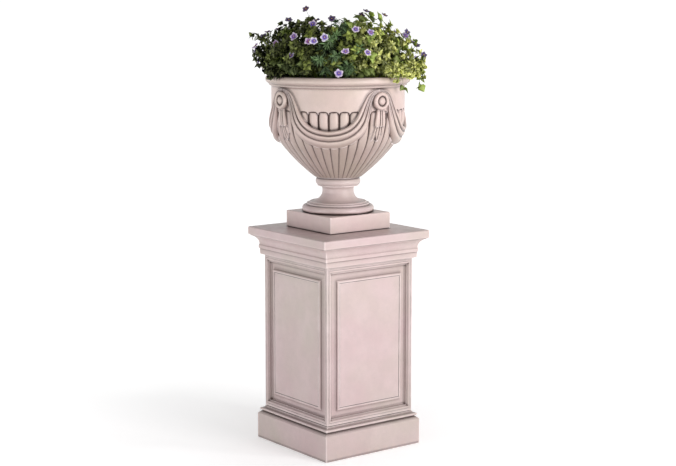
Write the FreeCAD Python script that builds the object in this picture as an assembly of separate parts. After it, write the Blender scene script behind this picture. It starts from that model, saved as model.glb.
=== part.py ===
import FreeCAD, Part
import math
import os

# A planted garden urn of cast stone on a square panelled pedestal, in millimetres.
# +Z is up. The origin is the centre of the pedestal's underside. The pedestal's faces
# look along +X, -X, +Y and -Y, and the urn's four rosettes sit on the same axes.

V = FreeCAD.Vector

# ---- pedestal: heights above the ground, and half widths -------------------------------
BASE_HALF = 220.0
BASE_BLOCK_TOP = 97.0
BASE_TOP = 126.0
BED = 2.5                      # mortar bed between two castings
SHAFT_HALF = 199.0
SHAFT_Z0 = BASE_TOP + BED
SHAFT_Z1 = 711.0
SHAFT_HOLLOW = 142.0           # half width of the space inside the shaft
CAP_Z0 = SHAFT_Z1 + BED
CAP_HALF = 243.0
CAP_TOP = 821.5
PANEL_MARGIN = 61.5            # from the shaft's edge to the panel's flat field
FIELD_DEPTH = 4.5
CORNER_BEAD_R = 4.0
DOWEL_R = 6.0
DOWEL_LENGTH = 90.0
DOWEL_PLACE = 162.0            # dowel centres lie at plus and minus this, in X and Y

# ---- urn: heights above the plinth's underside, and radii ------------------------------
URN_Z = CAP_TOP + 1.0          # the plinth stands on a thin shim bed on the cap
PLINTH_HALF = 138.0
PLINTH_TOP = 61.0
FOOT_TOP = 192.0
COLLAR_R = 84.0
BOWL_Z0 = 193.0
BAND_R = 247.0                 # the plain band, flush with the gadroons' crests
BAND_Z0 = 440.0
BAND_Z1 = 523.5
SHOULDER_Z = 430.0             # the bowl's side is upright here
SHOULDER_ARC = 200.0           # radius of the bowl's upper arc
BELLY_ARC = 700.0              # radius of the flatter arc below it
ARC_JOIN = math.radians(39.0)  # where the two arcs meet, as an angle below the shoulder
RIM_R = 269.0
RIM_TOP = 569.0
MOUTH_R = 231.0
WALL = 29.0
BOWL_FLOOR = 236.0
GADROONS = 40
GADROON_DEPTH = 0.028          # depth of a groove, as a share of the bowl's radius there

# ---- drainage, fill and ornament -------------------------------------------------------
TUBE_R = 14.0
TUBE_WALL = 2.0
TUBE_BELOW = 45.0              # how far the tube reaches down into the cap
GRAVEL_TOP = 268.0
FLEECE = 2.0
COMPOST_TOP = 541.0
FILL_GAP = 0.4
ROSETTE_Z = 484.5
ROSETTE_R = 32.5
SWAG_HALF = math.radians(36.6)
SWAG_SECTIONS = 9
TAIL_HALF = 19.0

# ---- planting --------------------------------------------------------------------------
FOLIAGE_R = 328.0
FOLIAGE_TOP = 792.0
HEART_R = 105.0
SECTORS = 6
SECTOR_SPLIT = 1.2             # degrees left clear between two neighbouring plants


def save(name, shape):
    if not shape.isValid():
        raise ValueError(name + " is not a valid shape")
    shape.exportStep("parts/" + name + ".step")
    print(name, len(shape.Solids), round(shape.Volume / 1000.0, 1), "cm3")


def line(a, b):
    return Part.LineSegment(a, b).toShape()


def arc(a, mid, b):
    return Part.Arc(a, mid, b).toShape()


def curve(points):
    spline = Part.BSplineCurve()
    spline.interpolate(points)
    return spline.toShape()


def outline(start, steps):
    """Face in the XZ plane from a start point and steps: (x, z) a line, (xm, zm, x, z) an arc."""
    edges = []
    here = V(start[0], 0, start[1])
    for step in steps:
        there = V(step[-2], 0, step[-1])
        if len(step) == 2:
            edges.append(line(here, there))
        else:
            edges.append(arc(here, V(step[0], 0, step[1]), there))
        here = there
    edges.append(line(here, V(start[0], 0, start[1])))
    return Part.Face(Part.Wire(edges))


def turned(face, degrees=360.0):
    return face.revolve(V(0, 0, 0), V(0, 0, 1), degrees)


def mitred(start, steps):
    """Square moulding with mitred corners: one profile of half widths run round a square."""
    half = outline(start, steps)
    length = 3.0 * CAP_HALF
    run = half.extrude(V(0, length, 0))
    run.translate(V(0, -length / 2.0, 0))
    along_y = run.fuse(run.mirror(V(0, 0, 0), V(1, 0, 0))).removeSplitter()
    along_x = along_y.copy()
    along_x.rotate(V(0, 0, 0), V(0, 0, 1), 90)
    return along_y.common(along_x).removeSplitter()


def box(half_x, half_y, z0, z1):
    return Part.makeBox(2 * half_x, 2 * half_y, z1 - z0, V(-half_x, -half_y, z0))


def pin(radius, z0, z1, x=0.0, y=0.0):
    return Part.makeCylinder(radius, z1 - z0, V(x, y, z0))


def four_corners(make, place):
    """One compound of four copies, at the corners of a square."""
    return Part.makeCompound([make(x, y) for x in (-place, place) for y in (-place, place)])


def turned_copy(shape, degrees):
    copy = shape.copy()
    copy.rotate(V(0, 0, 0), V(0, 0, 1), degrees)
    return copy


def raised(shape):
    """Lift a piece of the urn from its own height scale to its place on the pedestal."""
    copy = shape.copy()
    copy.translate(V(0, 0, URN_Z))
    return copy


# ---- pedestal --------------------------------------------------------------------------
def dowel_group(z_joint, radius, length):
    def one(x, y):
        return pin(radius, z_joint - length / 2.0, z_joint + length / 2.0, x, y)
    return four_corners(one, DOWEL_PLACE)


def pedestal_base():
    """Solid block: bevelled edge, quirk, small torus, and a cove up to the shaft."""
    top = BASE_BLOCK_TOP
    block = mitred((0, 0), [
        (BASE_HALF, 0), (BASE_HALF, top - 2), (BASE_HALF - 3, top + 1), (210, top + 7),
        (207, top + 7), (207, top + 11), (209, top + 11), (214, top + 16, 209, top + 21),
        (206, top + 21), (201, top + 23, 199.5, BASE_TOP), (0, BASE_TOP)])
    return block.cut(dowel_group(BASE_TOP, DOWEL_R + 0.2, DOWEL_LENGTH + 1.0))


def mortar_bed(z0, z1, outer):
    """Thin square ring of mortar, raked back from the faces, with holes for the dowels."""
    ring = box(outer, outer, z0, z1).cut(box(SHAFT_HOLLOW, SHAFT_HOLLOW, z0 - 1, z1 + 1))
    return ring.cut(dowel_group((z0 + z1) / 2.0, DOWEL_R + 0.2, DOWEL_LENGTH))


def panel_profile():
    """Space above one side of the panel's moulding, with x from the corner and y into the face.

    From the corner inwards: rounded lip, small step, deep valley, wide cove, convex rise,
    thin quirk, and the flat field."""
    edges = []
    here = V(8.5, 2.0, 0)
    for step in [(12, -0.5, 16.5, 1.5), (20, 7), (22.5, 7), (24, 14, 28, 17), (33, 17),
                 (43, 15.5, 50, 11), (52, 5, 57, 3.5), (59, 3.5), (59, 6.5), (PANEL_MARGIN, 6.5),
                 (PANEL_MARGIN, -3), (8.5, -3), (8.5, 2.0)]:
        there = V(step[-2], step[-1], 0)
        if len(step) == 2:
            edges.append(line(here, there))
        else:
            edges.append(arc(here, V(step[0], step[1], 0), there))
        here = there
    return Part.Face(Part.Wire(edges))


def mitre_block(half_long, half_wide, depth):
    """Region nearest to one long side of a rectangle: the moulding there stops at its mitres."""
    w = PANEL_MARGIN + 1
    corners = [(0, -half_long), (w, -half_long + w), (w, half_long - w), (0, half_long), (0, -half_long)]
    prism = Part.Face(Part.makePolygon([V(x, -5, z) for x, z in corners])).extrude(V(0, depth, 0))
    prism.translate(V(-half_wide, 0, 0))
    return prism


def panel_cutter():
    """Everything cut out of the shaft's -Y face: four mitred mouldings and the sunk field."""
    half_x = SHAFT_HALF
    half_z = (SHAFT_Z1 - SHAFT_Z0) / 2.0
    sides = []
    for long, wide, turn in ((half_z, half_x, 0), (half_x, half_z, 90)):
        run = panel_profile().extrude(V(0, 0, 2 * long))
        run.translate(V(-wide, 0, -long))
        run = run.common(mitre_block(long, wide, 40))
        run.rotate(V(0, 0, 0), V(0, 1, 0), turn)
        opposite = run.copy()
        opposite.rotate(V(0, 0, 0), V(0, 1, 0), 180)
        sides += [run, opposite]
    field = Part.makeBox(2 * (half_x - PANEL_MARGIN) + 1, 5 + FIELD_DEPTH, 2 * (half_z - PANEL_MARGIN) + 1,
                         V(-half_x + PANEL_MARGIN - 0.5, -5, -half_z + PANEL_MARGIN - 0.5))
    cutter = field.fuse(sides)
    cutter.translate(V(0, -SHAFT_HALF, (SHAFT_Z0 + SHAFT_Z1) / 2.0))
    return cutter


def corner_cutter():
    """Space cut out along the shaft's +X +Y corner to leave a bead between two quirks."""
    z0 = SHAFT_Z0 - 1
    z1 = SHAFT_Z1 + 1
    start = SHAFT_HALF - 1.85 * CORNER_BEAD_R
    notch = Part.makeBox(12, 12, z1 - z0, V(start, start, z0))
    bead = pin(CORNER_BEAD_R, z0, z1, SHAFT_HALF - CORNER_BEAD_R, SHAFT_HALF - CORNER_BEAD_R)
    root = pin(0.62 * CORNER_BEAD_R, z0, z1, start, start)
    return notch.cut(bead).cut(root)


def pedestal_shaft():
    """Hollow square shaft with a moulded panel on each face and a quirked bead at each corner."""
    shaft = box(SHAFT_HALF, SHAFT_HALF, SHAFT_Z0, SHAFT_Z1)
    shaft = shaft.cut(box(SHAFT_HOLLOW, SHAFT_HOLLOW, SHAFT_Z0 - 1, SHAFT_Z1 + 1))
    panel = panel_cutter()
    corner = corner_cutter()
    for side in range(4):
        shaft = shaft.cut(turned_copy(panel, 90 * side))
        shaft = shaft.cut(turned_copy(corner, 90 * side))
    for z_joint in (SHAFT_Z0, SHAFT_Z1):
        shaft = shaft.cut(dowel_group(z_joint, DOWEL_R + 0.2, DOWEL_LENGTH + 1.0))
    return shaft


def pedestal_cap():
    """Cornice slab: two fillets, a cavetto under a plain fascia, and a weathered top."""
    z = CAP_Z0
    slab = mitred((0, z), [
        (209, z), (211, z + 2), (211, z + 21), (214.5, z + 23), (214.5, z + 34),
        (212.5, z + 37), (218, z + 58, 236, z + 71), (236, z + 74), (240, z + 74),
        (CAP_HALF, z + 77), (CAP_HALF, CAP_TOP - 7), (CAP_HALF - 2, CAP_TOP - 4, CAP_HALF - 6, CAP_TOP - 3),
        (PLINTH_HALF + 12, CAP_TOP), (0, CAP_TOP)])
    slab = slab.cut(dowel_group(CAP_Z0, DOWEL_R + 0.2, DOWEL_LENGTH + 1.0))
    return slab.cut(pin(TUBE_R + 6, CAP_Z0 - 1, CAP_TOP + 1))


# ---- urn -------------------------------------------------------------------------------
def crest_radius(height):
    """Radius of the bowl over the gadroons' crests."""
    join_r = BAND_R - SHOULDER_ARC * (1 - math.cos(ARC_JOIN))
    join_z = SHOULDER_Z - SHOULDER_ARC * math.sin(ARC_JOIN)
    if height >= SHOULDER_Z:
        return BAND_R
    if height >= join_z:
        return BAND_R - SHOULDER_ARC + math.sqrt(SHOULDER_ARC ** 2 - (SHOULDER_Z - height) ** 2)
    centre_r = join_r - BELLY_ARC * math.cos(ARC_JOIN)
    centre_z = join_z + BELLY_ARC * math.sin(ARC_JOIN)
    return centre_r + math.sqrt(BELLY_ARC ** 2 - (centre_z - height) ** 2)


def crest_steps(low, high, offset=0.0):
    """The bowl's side as outline steps, from low to high, moved outwards by offset."""
    join_z = SHOULDER_Z - SHOULDER_ARC * math.sin(ARC_JOIN)

    def arc_step(z0, z1):
        return (crest_radius((z0 + z1) / 2) + offset, (z0 + z1) / 2, crest_radius(z1) + offset, z1)
    return [arc_step(low, join_z), arc_step(join_z, SHOULDER_Z), (BAND_R + offset, high)]


def crest_envelope(offset):
    """Solid of revolution over the crests and the band, to trim the ornament's backs."""
    face = outline((0, BOWL_Z0), [(crest_radius(BOWL_Z0) + offset, BOWL_Z0)]
                   + crest_steps(BOWL_Z0, BAND_Z1, offset) + [(0, BAND_Z1)])
    return turned(face)


def cavity(gap, top):
    """Space inside the bowl, drawn in by gap from its walls, up to the height top."""
    wall_foot = 262.0
    foot_r = crest_radius(wall_foot) - WALL - gap - 12
    mid_z = 330.0
    face = outline((0, BOWL_FLOOR + gap), [
        (foot_r - 25, BOWL_FLOOR + gap),
        (foot_r - 6, BOWL_FLOOR + gap + 7, foot_r, wall_foot),
        (crest_radius(mid_z) - WALL - gap, mid_z + 6, BAND_R - WALL - gap, SHOULDER_Z + 10),
        (MOUTH_R - 5 - gap, top), (0, top)])
    return turned(face)


def scalloped_wire(height, depth_share):
    """Ring of convex reeds at one height: a groove lies on each diagonal of the pedestal."""
    crest = crest_radius(height)
    groove = crest * (1 - depth_share)
    shoulder = crest * (1 - 0.30 * depth_share)
    pitch = 2 * math.pi / GADROONS
    edges = []
    for reed in range(GADROONS):
        start = math.pi / 4 + reed * pitch

        def at(share, radius):
            angle = start + share * pitch
            return V(radius * math.cos(angle), radius * math.sin(angle), height)
        edges.append(curve([at(0, groove), at(0.2, shoulder), at(0.5, crest),
                            at(0.8, shoulder), at(1, groove)]))
    return Part.Wire(edges)


def urn_bowl():
    """Bowl with gadrooned belly, plain band, rolled rim and a drain hole."""
    heights = [BOWL_Z0, 225.0, 262.0, 304.0, 346.0, 388.0, 420.0]
    rings = [scalloped_wire(height, GADROON_DEPTH) for height in heights]
    rings.append(scalloped_wire(434.0, 0.5 * GADROON_DEPTH))
    rings.append(scalloped_wire(BAND_Z0, 0.08 * GADROON_DEPTH))
    belly = Part.makeLoft(rings, True, False)
    z = BAND_Z1
    upper = turned(outline((0, BAND_Z0 - 0.5), [
        (BAND_R, BAND_Z0 - 0.5), (BAND_R, z), (249, z + 6.5, 256, z + 9.5), (256, z + 17.5),
        (261, z + 17.5), (RIM_R, z + 32, 262, RIM_TOP - 1), (250, RIM_TOP),
        (236, RIM_TOP), (MOUTH_R, RIM_TOP - 2, MOUTH_R - 1, RIM_TOP - 7),
        (0, RIM_TOP - 7)]))
    bowl = upper.fuse(belly)
    mouth = pin(MOUTH_R - 1, COMPOST_TOP - 1, RIM_TOP + 1)
    bowl = bowl.cut(cavity(0.0, COMPOST_TOP)).cut(mouth)
    return bowl.cut(pin(TUBE_R + 0.2, BOWL_Z0 - 1, BOWL_FLOOR + 2))


def urn_plinth():
    """Square plinth block with slightly eased edges."""
    block = mitred((0, 0), [
        (PLINTH_HALF - 2, 0), (PLINTH_HALF, 2), (PLINTH_HALF, PLINTH_TOP - 3),
        (PLINTH_HALF - 1, PLINTH_TOP - 1, PLINTH_HALF - 3, PLINTH_TOP), (0, PLINTH_TOP)])
    return block.cut(pin(TUBE_R + 0.2, -1, PLINTH_TOP + 1))


def urn_foot():
    """Turned foot: torus, fillets, deep scotia, slim neck and a collar torus."""
    face = outline((TUBE_R + 0.2, PLINTH_TOP + 0.4), [
        (124, PLINTH_TOP + 0.4), (134.5, 74, 124, 87), (117, 87), (117, 94), (108, 95),
        (105, 100), (72, 111, 59, 133), (59, 143), (62, 153, 72, 158), (77, 158),
        (77, 163), (80, 164), (COLLAR_R, 176, 80, 187), (78, 188), (78, FOOT_TOP),
        (TUBE_R + 0.2, FOOT_TOP)])
    return turned(face)


def drain_tube():
    """Steel tube on the urn's axis: it centres the castings and lets water out."""
    outer = pin(TUBE_R, -TUBE_BELOW, BOWL_FLOOR)
    bore = pin(TUBE_R - TUBE_WALL, -TUBE_BELOW - 1, BOWL_FLOOR + 2)
    return outer.cut(bore)


# ---- fill ------------------------------------------------------------------------------
def fill_layer(z0, z1):
    """Level layer in the bowl, clear of its walls."""
    slab = pin(2 * BAND_R, z0, z1)
    return cavity(FILL_GAP, COMPOST_TOP).common(slab)


# ---- ornament --------------------------------------------------------------------------
def rosette():
    """Round boss facing +X: a broad rounded ring, a groove and a domed button."""
    back = BAND_R - 6
    face = outline((0, back), [
        (ROSETTE_R, back), (ROSETTE_R, BAND_R + 12),
        (ROSETTE_R - 2, BAND_R + 16.5, ROSETTE_R - 7, BAND_R + 18.5), (20.5, BAND_R + 17.5, 17.5, BAND_R + 14),
        (17, BAND_R + 12.5), (16, BAND_R + 12.5), (15.5, BAND_R + 15),
        (10, BAND_R + 19, 2, BAND_R + 20.5), (0, BAND_R + 20.5)])
    boss = turned(face)
    boss.rotate(V(0, 0, 0), V(0, 1, 0), 90)
    boss.translate(V(0, 0, ROSETTE_Z))
    return boss.cut(crest_envelope(0.15))


def swag_section(turn):
    """Cross-section of a swag at an angle from its middle: three rolled folds of cloth."""
    share = abs(turn) / SWAG_HALF
    low = 309 + (462 - 309) * share ** 2.3
    high = 374 + (506 - 374) * share ** 2.1
    thick = 11.5 - 4.0 * share
    folds = [0.0, 0.38, 0.72, 1.0]
    azimuth = math.pi / 4 + turn

    def at(height, out):
        radius = crest_radius(height) + out
        return V(radius * math.cos(azimuth), radius * math.sin(azimuth), height)

    def height_at(part):
        return low + (high - low) * part

    edges = []
    for fold in range(3):
        a, b = folds[fold], folds[fold + 1]
        out_a = thick * 0.35 if fold else 1.0
        out_b = thick * 0.35 if fold < 2 else 1.0
        edges.append(arc(at(height_at(a), out_a), at(height_at((a + b) / 2), thick * (1 - 0.12 * fold)),
                         at(height_at(b), out_b)))
    edges.append(line(at(high, 1.0), at(high, -5)))
    edges.append(curve([at(high, -5), at((low + high) / 2, -5), at(low, -5)]))
    edges.append(line(at(low, -5), at(low, 1.0)))
    return Part.Wire(edges)


def swag():
    """Cloth swag hung between two rosettes, lowest on the diagonal at +X +Y."""
    turns = [SWAG_HALF * (2.0 * i / (SWAG_SECTIONS - 1) - 1) for i in range(SWAG_SECTIONS)]
    cloth = Part.makeLoft([swag_section(turn) for turn in turns], True, False)
    return cloth.cut(crest_envelope(0.15))


def tail_section(height, half, out):
    """Level cross-section of a tail facing +X: three pleats side by side."""
    radius = crest_radius(height) + out
    back = crest_radius(height) - 5
    crest = 0.36 * half
    sides = [(-half, 0.3), (-half / 3, 0.45), (half / 3, 0.45), (half, 0.3)]
    edges = []
    for (a, low_a), (b, low_b) in zip(sides, sides[1:]):
        edges.append(arc(V(radius + low_a * crest, a, height), V(radius + crest, (a + b) / 2, height),
                         V(radius + low_b * crest, b, height)))
    front = radius + 0.3 * crest
    edges.append(line(V(front, half, height), V(back, half, height)))
    edges.append(line(V(back, half, height), V(back, -half, height)))
    edges.append(line(V(back, -half, height), V(front, -half, height)))
    return Part.Wire(edges)


def tail():
    """Pleated end of the cloth hanging below a rosette at +X, in two tiers."""
    lower = [tail_section(z, half, 0.5) for z, half in ((327, 10), (347, 14), (368, 15), (392, 15))]
    upper = [tail_section(z, half, 4.5) for z, half in ((378, TAIL_HALF), (402, 17), (426, 15), (449, 13))]
    cloth = Part.makeLoft(lower, True, False).fuse(Part.makeLoft(upper, True, False))
    return cloth.cut(crest_envelope(0.15))


# ---- planting --------------------------------------------------------------------------
def foliage_heart():
    """Upright plant in the middle of the bowl."""
    z = COMPOST_TOP + 0.4
    return turned(outline((0, z), [
        (HEART_R, z), (HEART_R, FOLIAGE_TOP - 22), (HEART_R * 0.55, FOLIAGE_TOP - 6, 8, FOLIAGE_TOP),
        (0, FOLIAGE_TOP)]))


def foliage_sector():
    """One plant of the ring: it fills the mouth, lies over the rim and hangs a little."""
    z = COMPOST_TOP + 0.4
    inner = HEART_R + 1.5
    face = outline((inner, z), [
        (MOUTH_R - 7, z), (MOUTH_R - 7, RIM_TOP + 1), (RIM_R + 4, RIM_TOP + 1), (RIM_R + 14, RIM_TOP - 20),
        (RIM_R + 40, RIM_TOP - 12), (FOLIAGE_R, RIM_TOP + 60, 290, RIM_TOP + 130),
        (210, FOLIAGE_TOP - 35, inner, FOLIAGE_TOP - 20)])
    step = 360.0 / SECTORS
    return turned_copy(turned(face, step - SECTOR_SPLIT), SECTOR_SPLIT / 2)


def build():
    os.makedirs("parts", exist_ok=True)
    save("pedestal_base", pedestal_base())
    save("lower_mortar_bed", mortar_bed(BASE_TOP, SHAFT_Z0, SHAFT_HALF - 4))
    save("lower_dowels", dowel_group(BASE_TOP + BED / 2, DOWEL_R, DOWEL_LENGTH - 4))
    save("pedestal_shaft", pedestal_shaft())
    save("upper_mortar_bed", mortar_bed(SHAFT_Z1, CAP_Z0, SHAFT_HALF - 4))
    save("upper_dowels", dowel_group(SHAFT_Z1 + BED / 2, DOWEL_R, DOWEL_LENGTH - 4))
    save("pedestal_cap", pedestal_cap())

    save("urn_plinth", raised(urn_plinth()))
    save("urn_foot", raised(urn_foot()))
    save("urn_bowl", raised(urn_bowl()))
    save("drain_tube", raised(drain_tube()))
    save("drainage_gravel", raised(fill_layer(BOWL_FLOOR + FILL_GAP, GRAVEL_TOP)))
    save("filter_fleece", raised(fill_layer(GRAVEL_TOP + 0.2, GRAVEL_TOP + 0.2 + FLEECE)))
    save("compost", raised(fill_layer(GRAVEL_TOP + 0.4 + FLEECE, COMPOST_TOP)))

    boss = raised(rosette())
    cloth = raised(swag())
    drop = raised(tail())
    for number, side in enumerate(("right", "back", "left", "front")):
        save("rosette_" + side, turned_copy(boss, 90 * number))
        save("tail_" + side, turned_copy(drop, 90 * number))
    for number, corner in enumerate(("back_right", "back_left", "front_left", "front_right")):
        save("swag_" + corner, turned_copy(cloth, 90 * number))

    save("plant_heart", raised(foliage_heart()))
    sector = raised(foliage_sector())
    for number in range(SECTORS):
        save("plant_ring_" + str(number + 1), turned_copy(sector, 360.0 / SECTORS * number))


build()
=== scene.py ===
import math
import random

import bpy
from mathutils import Matrix, Vector


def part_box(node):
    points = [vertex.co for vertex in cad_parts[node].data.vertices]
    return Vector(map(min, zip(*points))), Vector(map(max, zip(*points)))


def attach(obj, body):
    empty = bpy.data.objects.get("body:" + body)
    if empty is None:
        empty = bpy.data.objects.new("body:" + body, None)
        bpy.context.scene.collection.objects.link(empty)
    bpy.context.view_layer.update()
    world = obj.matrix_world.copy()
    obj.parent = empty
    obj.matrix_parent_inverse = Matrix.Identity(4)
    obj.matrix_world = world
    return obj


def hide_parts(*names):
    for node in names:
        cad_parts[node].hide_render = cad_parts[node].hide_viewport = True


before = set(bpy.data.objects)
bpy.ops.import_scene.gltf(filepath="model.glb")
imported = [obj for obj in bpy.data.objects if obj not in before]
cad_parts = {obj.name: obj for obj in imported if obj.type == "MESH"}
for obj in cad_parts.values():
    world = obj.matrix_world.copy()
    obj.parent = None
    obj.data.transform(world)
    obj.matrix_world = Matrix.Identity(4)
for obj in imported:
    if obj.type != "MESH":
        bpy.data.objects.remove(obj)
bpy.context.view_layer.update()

# The looks of a planted cast-stone garden urn on a panelled pedestal, in metres.
# Heights on the urn are counted from the underside of its square plinth.

MM = 0.001
URN_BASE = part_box("urn_plinth")[0][2]

# ---- bowl, repeated from the CAD design in millimetres ---------------------------------
BOWL_FOOT = 193.0
BAND_R = 247.0
BAND_TOP = 523.5
SHOULDER_Z = 430.0
SHOULDER_ARC = 200.0
BELLY_ARC = 700.0
ARC_JOIN = math.radians(39.0)
RIM_R = 269.0
RIM_TOP = 569.0
MOUTH_R = 231.0
DRAIN_R = 14.2
COMPOST_TOP = 541.0
REEDS = 40
REED_TOP = 448.5
REED_DEPTH = 0.036            # groove depth as a share of the radius
RIM = URN_BASE + RIM_TOP * MM

# ---- planting ---------------------------------------------------------------------------
FOLIAGE_H = 198.0             # millimetres above the rim
LEAF_REACH = 0.334            # farthest leaf tip and stalk flower from the axis, in metres
FLOWER_REACH = 0.335
FLOWER_ACROSS = 0.034
LEAF_SEED = 41

# ---- viewer -----------------------------------------------------------------------------
VIEW_AZIMUTH = math.radians(-37.05)
VIEW_PITCH = math.radians(8.686)
VIEW_DISTANCE = 5.913
EYE_HEIGHT = 1.7026
TOWARDS_VIEWER = Vector((math.sin(VIEW_AZIMUTH), -math.cos(VIEW_AZIMUTH), 0.0))
RIGHT_OF_VIEWER = Vector((math.cos(VIEW_AZIMUTH), math.sin(VIEW_AZIMUTH), 0.0))


# ========================================================================================
# node materials
# ========================================================================================
def new_material(name):
    material = bpy.data.materials.new(name)
    material.use_nodes = True
    tree = material.node_tree
    tree.nodes.clear()
    output = tree.nodes.new("ShaderNodeOutputMaterial")
    shader = tree.nodes.new("ShaderNodeBsdfPrincipled")
    tree.links.new(shader.outputs[0], output.inputs[0])
    return material, tree, shader


def add(tree, kind, inputs=None, **props):
    """A node with its properties set, and its inputs set to values or linked to sockets."""
    node = tree.nodes.new("ShaderNode" + kind)
    for key, value in props.items():
        setattr(node, key, value)
    for key, value in (inputs or {}).items():
        if isinstance(value, bpy.types.NodeSocket):
            tree.links.new(value, node.inputs[key])
        else:
            node.inputs[key].default_value = value
    return node


def noise(tree, place, scale, detail=3.0, rough=0.55):
    return add(tree, "TexNoise", {"Vector": place, "Scale": scale, "Detail": detail,
                                  "Roughness": rough}).outputs["Fac"]


def ramp(tree, value, low, high, out_low=0.0, out_high=1.0):
    return add(tree, "MapRange", {"Value": value, "From Min": low, "From Max": high,
                                  "To Min": out_low, "To Max": out_high}).outputs["Result"]


def math_node(tree, operation, a, b):
    return add(tree, "Math", {0: a, 1: b}, operation=operation).outputs[0]


def mix(tree, share, a, b, blend="MIX"):
    node = tree.nodes.new("ShaderNodeMix")
    node.data_type = "RGBA"
    node.blend_type = blend
    for index, value in ((0, share), (6, a), (7, b)):
        if isinstance(value, bpy.types.NodeSocket):
            tree.links.new(value, node.inputs[index])
        elif index:
            node.inputs[index].default_value = (*value, 1.0)
        else:
            node.inputs[index].default_value = value
    return node.outputs[2]


def bump(tree, height, strength, distance, normal=None):
    node = add(tree, "Bump", {"Height": height, "Strength": strength, "Distance": distance})
    if normal is not None:
        tree.links.new(normal, node.inputs["Normal"])
    return node.outputs["Normal"]


def occlusion(tree, distance, inside=False):
    return add(tree, "AmbientOcclusion", {"Distance": distance}, inside=inside,
               samples=8).outputs["AO"]


def stone_material(name, pale_edge_depth, underside, crevice_span, lift):
    """Cast stone: pinkish beige with soft mottling, dark brown in the hollows and creases that is partly
    dirt and partly painted shade, pale edges that are partly wear and partly painted highlight, and
    painted shade on faces that look down and on faces that look up.

    The arguments in order: how far in from an edge it is painted pale; how strongly faces that look down
    get painted shade; the open-air shares with full and with no darkening in the creases; and a colour
    that multiplies the whole, a tint that on the plinth also brightens it as painted light in place of the
    bounce light it lacks."""
    material, tree, shader = new_material(name)
    place = add(tree, "TexCoord").outputs["Object"]
    broad = noise(tree, place, 3.2, 2.0)
    patch = noise(tree, place, 11.0, 4.0)
    grain = noise(tree, place, 420.0, 3.0, 0.7)
    cloud = noise(tree, place, 38.0, 5.0, 0.65)

    tone = mix(tree, ramp(tree, broad, 0.38, 0.62), (0.590, 0.445, 0.440), (0.570, 0.490, 0.435))
    tone = mix(tree, ramp(tree, patch, 0.40, 0.70, 0.0, 0.55), tone, (0.670, 0.540, 0.530))
    tone = mix(tree, ramp(tree, cloud, 0.30, 0.75, 0.0, 0.35), tone, (0.480, 0.395, 0.380))
    tone = mix(tree, ramp(tree, grain, 0.35, 0.70, 0.0, 0.22), tone, (0.380, 0.310, 0.295))

    tone = mix(tree, 1.0, tone, lift, "MULTIPLY")

    # Hollows and creases, found by ambient occlusion, are darkened to brown: partly dirt, partly painted
    # shade.
    hollow = ramp(tree, occlusion(tree, 0.030), 0.22, 0.58, 1.0, 0.0)
    crevice = ramp(tree, occlusion(tree, 0.011), *crevice_span, 1.0, 0.0)
    ragged = ramp(tree, cloud, 0.25, 0.65, 0.55, 1.0)
    dirt_and_shade = math_node(tree, "MULTIPLY", hollow, ragged)
    tone = mix(tree, math_node(tree, "MULTIPLY", dirt_and_shade, 0.78), tone, (0.200, 0.142, 0.128))
    tone = mix(tree, math_node(tree, "MULTIPLY", crevice, 0.92), tone, (0.085, 0.052, 0.046))

    facing = add(tree, "NewGeometry").outputs["Normal"]
    tilt = add(tree, "SeparateXYZ", {0: facing}).outputs[2]
    # Painted shade: faces that look down are painted darker, by the underside share.
    tone = mix(tree, ramp(tree, tilt, -0.60, -0.08, underside, 0.0), tone,
               mix(tree, 1.0, tone, (0.52, 0.48, 0.48), "MULTIPLY"))
    # Painted shade: faces that look up are painted darker as well, as a light from the side leaves them.
    tone = mix(tree, ramp(tree, tilt, 0.80, 0.98, 0.0, 0.45), tone,
               mix(tree, 1.0, tone, (0.66, 0.64, 0.64), "MULTIPLY"))

    # Pale edges from inside ambient occlusion: partly wear, partly painted highlight.
    edge = ramp(tree, occlusion(tree, pale_edge_depth, inside=True), 0.45, 0.90, 1.0, 0.0)
    wear_and_highlight = math_node(tree, "MULTIPLY", edge, ramp(tree, patch, 0.30, 0.60, 0.45, 0.85))
    tone = mix(tree, wear_and_highlight, tone, (0.850, 0.735, 0.715))
    tree.links.new(tone, shader.inputs["Base Color"])

    rough = ramp(tree, cloud, 0.25, 0.75, 0.27, 0.46)
    tree.links.new(math_node(tree, "ADD", rough, math_node(tree, "MULTIPLY", dirt_and_shade, 0.25)),
                   shader.inputs["Roughness"])
    pits = add(tree, "TexVoronoi", {"Vector": place, "Scale": 260.0}).outputs["Distance"]
    normal = bump(tree, grain, 0.16, 0.0006)
    normal = bump(tree, ramp(tree, pits, 0.05, 0.30), 0.12, 0.0007, normal)
    normal = bump(tree, cloud, 0.10, 0.0030, normal)
    tree.links.new(normal, shader.inputs["Normal"])
    shader.inputs["Specular IOR Level"].default_value = 0.55
    return material


def mortar_material():
    material, tree, shader = new_material("mortar")
    place = add(tree, "TexCoord").outputs["Object"]
    sand = noise(tree, place, 700.0, 4.0, 0.8)
    tone = mix(tree, ramp(tree, sand, 0.3, 0.7), (0.090, 0.066, 0.058), (0.210, 0.165, 0.145))
    tree.links.new(tone, shader.inputs["Base Color"])
    tree.links.new(bump(tree, sand, 0.5, 0.001), shader.inputs["Normal"])
    shader.inputs["Roughness"].default_value = 0.92
    return material


def steel_material():
    material, tree, shader = new_material("steel")
    place = add(tree, "TexCoord").outputs["Object"]
    stretched = add(tree, "Mapping", {"Vector": place, "Scale": (60.0, 60.0, 900.0)}).outputs[0]
    lines = noise(tree, stretched, 1.0, 3.0)
    tone = mix(tree, ramp(tree, lines, 0.3, 0.7), (0.40, 0.41, 0.42), (0.62, 0.63, 0.64))
    tree.links.new(tone, shader.inputs["Base Color"])
    tree.links.new(ramp(tree, lines, 0.3, 0.7, 0.28, 0.45), shader.inputs["Roughness"])
    shader.inputs["Metallic"].default_value = 1.0
    return material


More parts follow.
